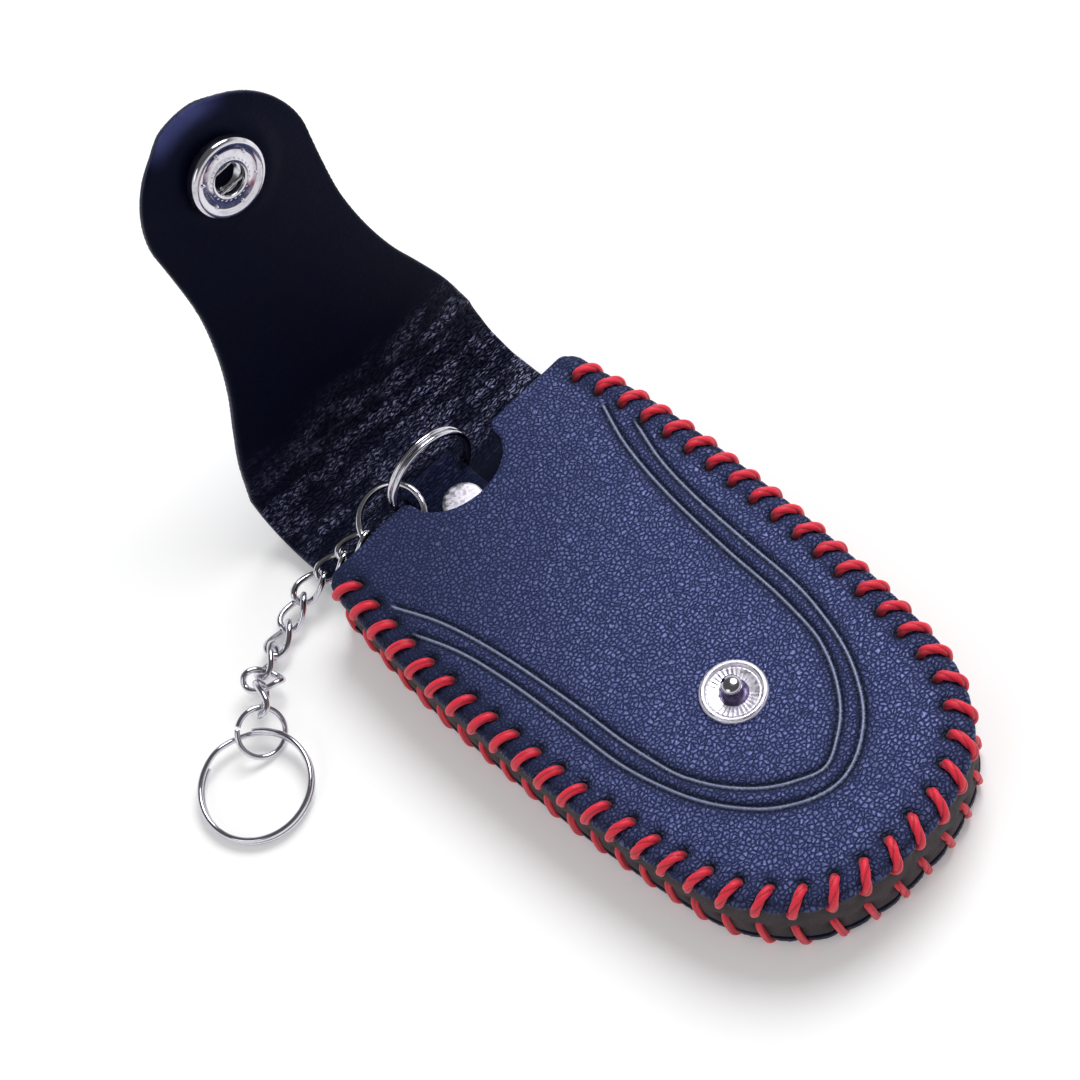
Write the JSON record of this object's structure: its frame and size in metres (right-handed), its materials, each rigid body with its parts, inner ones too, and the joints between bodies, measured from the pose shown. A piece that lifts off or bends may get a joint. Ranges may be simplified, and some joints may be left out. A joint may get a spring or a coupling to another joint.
{
  "type": "key cover",
  "caption": "Stitched leather key pouch with a snap flap, shown open, and a ring, short chain and split ring for the keys.",
  "frame": {"origin": "on the pouch's centre line, on the flat of the back panel that it lies on, 51 mm from the seam's bottom and 40 mm from the mouth", "axes": "+X across the pouch to the right as the front is seen, +Y along it towards the mouth and flap, +Z out of its front"},
  "size_m": [0.0915, 0.1304, 0.0718],
  "materials": {
    "back_panel": "grained navy, edges painted",
    "front_panel": "grained navy, edges painted",
    "gusset": "plain dark brown-grey split",
    "front_seam_thread": "waxed red thread",
    "back_seam_thread": "waxed red thread",
    "strap": "smooth dark navy",
    "strap_rivet": "polished nickel plate",
    "strap_rivet_cap": "polished nickel plate",
    "snap_stud": "polished nickel plate",
    "snap_eyelet": "polished nickel plate",
    "flap_bend": "smooth navy inside, grained outside",
    "flap": "smooth navy inside, grained outside",
    "snap_cap": "polished nickel plate",
    "snap_socket": "polished nickel plate",
    "snap_spring": "bright spring wire",
    "strap_ring": "polished nickel plate",
    "chain_ring": "polished nickel plate",
    "chain_link_1": "polished nickel plate",
    "chain_link_2": "polished nickel plate",
    "chain_link_3": "polished nickel plate",
    "chain_link_4": "polished nickel plate",
    "chain_link_5": "polished nickel plate",
    "chain_link_6": "polished nickel plate",
    "chain_link_7": "polished nickel plate",
    "chain_link_8": "polished nickel plate",
    "end_ring": "polished nickel plate",
    "key_ring": "polished nickel plate"
  },
  "bodies": {
    "pouch": {"back_panel": "back_panel", "front_panel": "front_panel", "gusset": "gusset", "front_seam_thread": "front_seam_thread", "back_seam_thread": "back_seam_thread", "strap": "strap", "strap_rivet": "strap_rivet", "strap_rivet_cap": "strap_rivet_cap", "snap_stud": "snap_stud", "snap_eyelet": "snap_eyelet"},
    "flap": {"flap_bend": "flap_bend", "flap": "flap", "snap_cap": "snap_cap", "snap_socket": "snap_socket", "snap_spring": "snap_spring"},
    "strap_ring": {"strap_ring": "strap_ring"},
    "chain_ring": {"chain_ring": "chain_ring"},
    "chain_link_1": {"chain_link_1": "chain_link_1"},
    "chain_link_2": {"chain_link_2": "chain_link_2"},
    "chain_link_3": {"chain_link_3": "chain_link_3"},
    "chain_link_4": {"chain_link_4": "chain_link_4"},
    "chain_link_5": {"chain_link_5": "chain_link_5"},
    "chain_link_6": {"chain_link_6": "chain_link_6"},
    "chain_link_7": {"chain_link_7": "chain_link_7"},
    "chain_link_8": {"chain_link_8": "chain_link_8"},
    "end_ring": {"end_ring": "end_ring"},
    "key_ring": {"key_ring": "key_ring"}
  },
  "joints": [
    {"name": "flap_hinge", "type": "hinge", "parent": "pouch", "child": "flap", "pos_m": [0, 0.04337, 0.0021], "axis": [1, 0, 0], "range_deg": [-15, 101.6], "deforming": ["flap_bend"]},
    {"name": "strap_ring_hinge", "type": "hinge", "parent": "pouch", "child": "strap_ring", "pos_m": [-0.0027, 0.04165, 0.00515], "axis": [1, 0, 0], "range_deg": [-7, 0]},
    {"name": "chain_ring_hinge", "type": "hinge", "parent": "strap_ring", "child": "chain_ring", "pos_m": [-0.00985, 0.04165, 0.01064], "axis": [0.2588, 0, -0.9659], "range_deg": [-15, 20]},
    {"name": "chain_link_1_hinge", "type": "hinge", "parent": "chain_ring", "child": "chain_link_1", "pos_m": [-0.01606, 0.04373, 0.00928], "axis": [0.3214, 0.9137, 0.2487], "range_deg": [-5, 30]},
    {"name": "chain_link_2_hinge", "type": "hinge", "parent": "chain_link_1", "child": "chain_link_2", "pos_m": [-0.02029, 0.04504, 0.00717], "axis": [-0.0314, -0.8615, -0.5068], "range_deg": [-25, 14]},
    {"name": "chain_link_3_hinge", "type": "hinge", "parent": "chain_link_2", "child": "chain_link_3", "pos_m": [-0.0244, 0.04627, 0.00499], "axis": [-0.05, 0.8098, 0.5846], "range_deg": [-25, 18]},
    {"name": "chain_link_4_hinge", "type": "hinge", "parent": "chain_link_3", "child": "chain_link_4", "pos_m": [-0.029, 0.0471, 0.00366], "axis": [0.0924, -0.7051, -0.703], "range_deg": [-20, 25]},
    {"name": "chain_link_5_hinge", "type": "hinge", "parent": "chain_link_4", "child": "chain_link_5", "pos_m": [-0.03332, 0.04544, 0.00254], "axis": [-0.3157, 0.8209, 0.4759], "range_deg": [-25, 25]},
    {"name": "chain_link_6_hinge", "type": "hinge", "parent": "chain_link_5", "child": "chain_link_6", "pos_m": [-0.03756, 0.04362, 0.00288], "axis": [0.3495, -0.873, -0.3401], "range_deg": [-18, 25]},
    {"name": "chain_link_7_hinge", "type": "hinge", "parent": "chain_link_6", "child": "chain_link_7", "pos_m": [-0.04134, 0.04146, 0.0038], "axis": [-0.5217, 0.7906, -0.3206], "range_deg": [-14, 25]},
    {"name": "chain_link_8_hinge", "type": "hinge", "parent": "chain_link_7", "child": "chain_link_8", "pos_m": [-0.04274, 0.03952, 0.0044], "axis": [0.6909, -0.7154, -0.1045], "range_deg": [-25, 25]},
    {"name": "end_ring_hinge", "type": "hinge", "parent": "chain_link_8", "child": "end_ring", "pos_m": [-0.04545, 0.03577, 0.00541], "axis": [-0.7631, 0.3888, -0.5163], "range_deg": [-25, 25]},
    {"name": "key_ring_hinge", "type": "hinge", "parent": "end_ring", "child": "key_ring", "pos_m": [-0.04703, 0.03514, 0.00281], "axis": [-0.6429, 0.7659, -0.0105], "range_deg": [-15, 30]}
  ]
}
